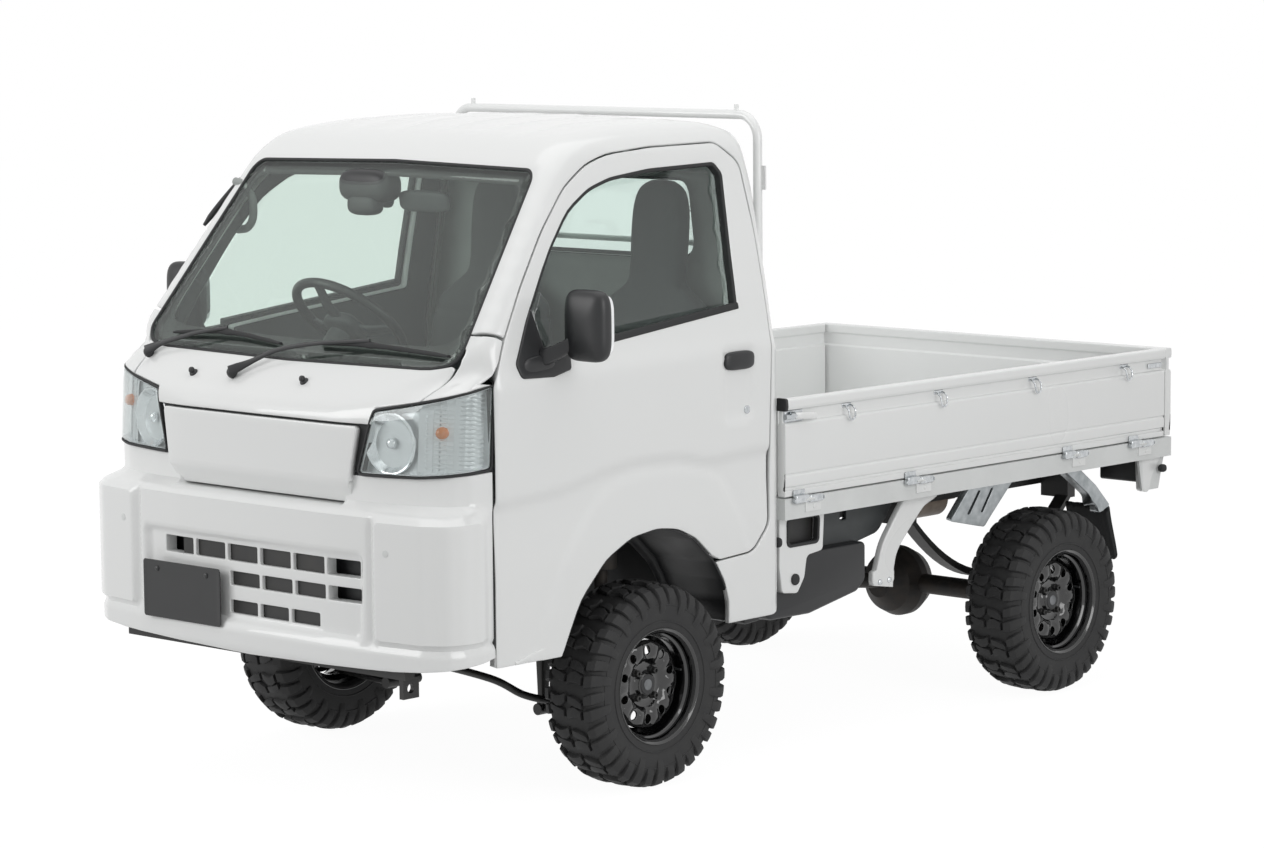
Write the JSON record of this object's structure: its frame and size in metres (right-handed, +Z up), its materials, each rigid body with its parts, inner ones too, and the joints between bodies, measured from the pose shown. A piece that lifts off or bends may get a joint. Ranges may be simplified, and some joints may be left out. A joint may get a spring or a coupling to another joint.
{
  "type": "kei truck",
  "caption": "Raised light cab-over truck with a two-seat cab, hinged doors, a drop-side bed, a guard frame and all-terrain tyres on black steel wheels.",
  "frame": {"origin": "on the ground, under the middle of the truck's length and width", "axes": "+Z up, the front faces -Y, +X is the vehicle's left side"},
  "size_m": [1.809, 3.395, 1.9105],
  "materials": {
    "white_paint": "gloss white paint",
    "chassis_black": "satin black paint",
    "floor_paint": "grey primer",
    "clear_glass": "tinted",
    "lamp_lens": "clear",
    "red_lens": "gloss",
    "black_plastic": "grained",
    "dash_plastic": "grained",
    "plate_black": "satin",
    "seat_cloth": "woven",
    "galvanised": "galvanised",
    "rubber": "matte",
    "tyre_rubber": "matte",
    "rim_black": "gloss black",
    "cast_iron": "rough cast",
    "engine_alloy": "cast"
  },
  "bodies": {
    "chassis": {"frame": "chassis_black", "cab_floor": "floor_paint", "cab_rear_wall": "white_paint", "cab_side_left": "white_paint", "cab_side_right": "white_paint", "roof": "white_paint", "front_panel": "white_paint", "front_garnish": "white_paint", "bumper": "white_paint", "front_plate": "plate_black", "radiator": "engine_alloy", "headlamp_left": "lamp_lens", "headlamp_right": "lamp_lens", "windscreen": "clear_glass", "rear_window": "clear_glass", "wipers": "black_plastic", "dashboard": "dash_plastic", "steering_column": "black_plastic", "seat_left": "seat_cloth", "seat_right": "seat_cloth", "bed_floor": "white_paint", "headboard": "white_paint", "guard_frame": "white_paint", "bed_brackets": "white_paint", "wheel_guards": "galvanised", "mud_flaps": "rubber", "tail_lamps": "red_lens", "engine": "engine_alloy", "fuel_tank": "black_plastic", "exhaust": "cast_iron", "front_suspension": "chassis_black", "rear_axle": "chassis_black", "leaf_springs": "chassis_black"},
    "steering_wheel": {"steering_wheel": "black_plastic"},
    "door_left": {"door_left": "white_paint", "door_glass_left": "clear_glass", "mirror_left": "black_plastic"},
    "door_right": {"door_right": "white_paint", "door_glass_right": "clear_glass", "mirror_right": "black_plastic"},
    "side_gate_left": {"side_gate_left": "white_paint"},
    "side_gate_right": {"side_gate_right": "white_paint"},
    "tail_gate": {"tail_gate": "white_paint"},
    "knuckle_left": {"knuckle_left": "cast_iron"},
    "knuckle_right": {"knuckle_right": "cast_iron"},
    "wheel_front_left": {"tyre_front_left": "tyre_rubber", "rim_front_left": "rim_black"},
    "wheel_front_right": {"tyre_front_right": "tyre_rubber", "rim_front_right": "rim_black"},
    "wheel_rear_left": {"tyre_rear_left": "tyre_rubber", "rim_rear_left": "rim_black"},
    "wheel_rear_right": {"tyre_rear_right": "tyre_rubber", "rim_rear_right": "rim_black"}
  },
  "joints": [
    {"name": "door_left_hinge", "type": "hinge", "parent": "chassis", "child": "door_left", "pos_m": [0.7375, -1.4075, 0.9], "axis": [0, 0, -1], "range_deg": [0, 65]},
    {"name": "door_right_hinge", "type": "hinge", "parent": "chassis", "child": "door_right", "pos_m": [-0.7375, -1.4075, 0.9], "axis": [0, 0, 1], "range_deg": [0, 65]},
    {"name": "side_gate_left_hinge", "type": "hinge", "parent": "chassis", "child": "side_gate_left", "pos_m": [0.7495, 0.7, 0.762], "axis": [0, 1, 0], "range_deg": [0, 178]},
    {"name": "side_gate_right_hinge", "type": "hinge", "parent": "chassis", "child": "side_gate_right", "pos_m": [-0.7495, 0.7, 0.762], "axis": [0, -1, 0], "range_deg": [0, 178]},
    {"name": "tail_gate_hinge", "type": "hinge", "parent": "chassis", "child": "tail_gate", "pos_m": [0, 1.6895, 0.762], "axis": [-1, 0, 0], "range_deg": [0, 178]},
    {"name": "steer_left", "type": "hinge", "parent": "chassis", "child": "knuckle_left", "pos_m": [0.6, -0.8015, 0.205], "axis": [-0.1556, 0, 0.9878], "range_deg": [-30, 30]},
    {"name": "steer_right", "type": "hinge", "parent": "chassis", "child": "knuckle_right", "pos_m": [-0.6, -0.8015, 0.205], "axis": [0.1556, 0, 0.9878], "range_deg": [-30, 30]},
    {"name": "steering_wheel_turn", "type": "hinge", "parent": "chassis", "child": "steering_wheel", "pos_m": [-0.33, -0.9775, 1.285], "axis": [0, 0.6691, 0.7431], "range_deg": [-510, 510]},
    {"name": "wheel_front_left_spin", "type": "hinge", "parent": "knuckle_left", "child": "wheel_front_left", "pos_m": [0.645, -0.8015, 0.2945], "axis": [1, 0, 0], "continuous": true},
    {"name": "wheel_front_right_spin", "type": "hinge", "parent": "knuckle_right", "child": "wheel_front_right", "pos_m": [-0.645, -0.8015, 0.2945], "axis": [1, 0, 0], "continuous": true},
    {"name": "wheel_rear_left_spin", "type": "hinge", "parent": "chassis", "child": "wheel_rear_left", "pos_m": [0.645, 1.0985, 0.2945], "axis": [1, 0, 0], "continuous": true},
    {"name": "wheel_rear_right_spin", "type": "hinge", "parent": "chassis", "child": "wheel_rear_right", "pos_m": [-0.645, 1.0985, 0.2945], "axis": [1, 0, 0], "continuous": true}
  ],
  "couplings": [
    {"joint": "steer_right", "follows": "steer_left", "ratio": 1},
    {"joint": "steering_wheel_turn", "follows": "steer_left", "ratio": 16}
  ]
}
